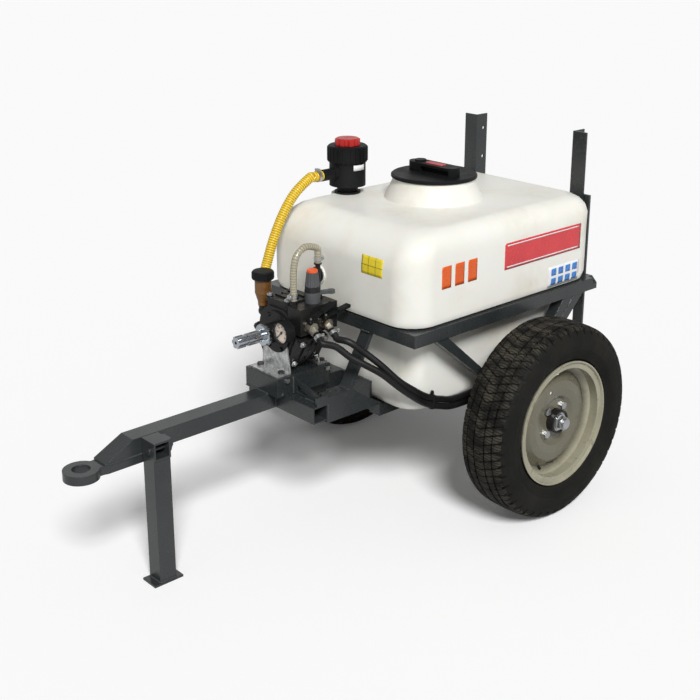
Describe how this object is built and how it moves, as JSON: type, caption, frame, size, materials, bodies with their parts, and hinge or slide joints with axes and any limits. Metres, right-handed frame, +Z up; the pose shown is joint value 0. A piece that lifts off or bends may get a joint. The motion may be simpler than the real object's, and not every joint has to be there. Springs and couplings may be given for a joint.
{
  "type": "wheeled sprayer cart",
  "caption": "Towed orchard sprayer cart: a square tank in a hoop frame over a single axle, with a shaft-driven diaphragm pump, drawbar, folding stand and boom posts.",
  "frame": {"origin": "middle of the footprint at ground level", "axes": "+X is the right-hand side, -Y points to the towing vehicle, +Z is up; the axle lies 0.4285 m behind the origin"},
  "size_m": [1.007, 1.675, 1.034],
  "materials": {
    "frame_paint": "satin",
    "zinc": "satin",
    "tyre_rubber": "matte",
    "rim_paint": "gloss",
    "black_rubber": "satin",
    "tank_poly": "satin",
    "black_plastic": "satin",
    "grey_plastic": "satin",
    "red_plastic": "gloss",
    "orange_plastic": "gloss",
    "ribbed_hose": "gloss",
    "clear_hose": "gloss",
    "pump_enamel": "gloss",
    "amber_plastic": "gloss",
    "nickel": "satin"
  },
  "bodies": {
    "chassis": {"drawbar": "frame_paint", "tow_eye": "frame_paint", "lower_frame": "frame_paint", "tank_cradle": "frame_paint", "axle_beam": "frame_paint", "spindles": "zinc", "axle_nuts": "zinc", "tank_hoop": "frame_paint", "hoop_struts": "frame_paint", "rear_uprights": "frame_paint", "boom_posts": "frame_paint", "post_bolts": "zinc", "pump_deck": "frame_paint", "stand_bolt": "zinc", "tank": "tank_poly", "strainer_basket": "grey_plastic", "tank_port_plug": "black_plastic", "filter_body": "black_plastic", "filter_collar": "black_plastic", "filter_screen": "zinc", "dip_tube": "black_plastic", "suction_hose": "ribbed_hose", "hose_clamps": "zinc", "pump_crankcase": "pump_enamel", "pump_heads": "pump_enamel", "head_bolts": "zinc", "pump_feet": "zinc", "foot_bolts": "zinc", "oil_reservoir": "amber_plastic", "regulator_body": "pump_enamel", "gauge_case": "black_plastic", "ball_valves": "nickel", "bypass_hose": "clear_hose", "delivery_hoses": "black_rubber", "hose_fittings": "nickel"},
    "wheel_left": {"tyre_left": "tyre_rubber", "rim_left": "rim_paint", "hub_left": "pump_enamel", "wheel_bolts_left": "zinc", "bearings_left": "zinc", "tyre_valve_left": "black_rubber"},
    "wheel_right": {"tyre_right": "tyre_rubber", "rim_right": "rim_paint", "hub_right": "pump_enamel", "wheel_bolts_right": "zinc", "bearings_right": "zinc", "tyre_valve_right": "black_rubber"},
    "stand": {"stand_leg": "frame_paint", "stand_pin": "zinc"},
    "lid": {"tank_lid": "black_plastic", "lid_breather": "red_plastic"},
    "oil_cap": {"oil_cap": "black_plastic"},
    "knob": {"regulator_knob": "black_plastic", "knob_ring": "orange_plastic"},
    "bypass": {"bypass_lever": "grey_plastic"},
    "filter_valve": {"filter_knob": "red_plastic"},
    "needle": {"gauge_needle": "red_plastic"},
    "shaft": {"pto_shaft": "zinc"},
    "near_lever": {"valve_lever_near": "black_plastic"},
    "far_lever": {"valve_lever_far": "black_plastic"}
  },
  "joints": [
    {"name": "wheel_left_spin", "type": "hinge", "parent": "chassis", "child": "wheel_left", "pos_m": [-0.4235, 0.4285, 0.286], "axis": [1, 0, 0], "continuous": true},
    {"name": "wheel_right_spin", "type": "hinge", "parent": "chassis", "child": "wheel_right", "pos_m": [0.4235, 0.4285, 0.286], "axis": [1, 0, 0], "continuous": true},
    {"name": "stand_fold", "type": "hinge", "parent": "chassis", "child": "stand", "pos_m": [-0.047, -0.6095, 0.376], "axis": [1, 0, 0], "range_deg": [0, 90]},
    {"name": "lid_lift", "type": "slide", "parent": "chassis", "child": "lid", "axis": [0, 0, 1], "range_m": [0, 0.12]},
    {"name": "oil_cap_lift", "type": "slide", "parent": "chassis", "child": "oil_cap", "axis": [0, 0, 1], "range_m": [0, 0.05]},
    {"name": "pressure_knob", "type": "hinge", "parent": "chassis", "child": "knob", "pos_m": [0.024, -0.1005, 0.7], "axis": [0, 0, 1], "range_deg": [-180, 180]},
    {"name": "bypass_turn", "type": "hinge", "parent": "chassis", "child": "bypass", "pos_m": [0.024, -0.1005, 0.67], "axis": [0, 0, 1], "range_deg": [-100, 0]},
    {"name": "filter_shutoff", "type": "hinge", "parent": "chassis", "child": "filter_valve", "pos_m": [-0.207, 0.2355, 1], "axis": [0, 0, 1], "range_deg": [0, 90]},
    {"name": "gauge_pointer", "type": "hinge", "parent": "chassis", "child": "needle", "pos_m": [0.017, -0.2065, 0.584], "axis": [0, 1, 0], "range_deg": [0, 270]},
    {"name": "pto_spin", "type": "hinge", "parent": "chassis", "child": "shaft", "pos_m": [-0.047, -0.2115, 0.564], "axis": [0, 1, 0], "continuous": true},
    {"name": "near_valve", "type": "hinge", "parent": "chassis", "child": "near_lever", "pos_m": [0.071, -0.1465, 0.617], "axis": [0, 0, -1], "range_deg": [0, 90]},
    {"name": "far_valve", "type": "hinge", "parent": "chassis", "child": "far_lever", "pos_m": [0.071, -0.0935, 0.617], "axis": [0, 0, -1], "range_deg": [0, 90]}
  ]
}
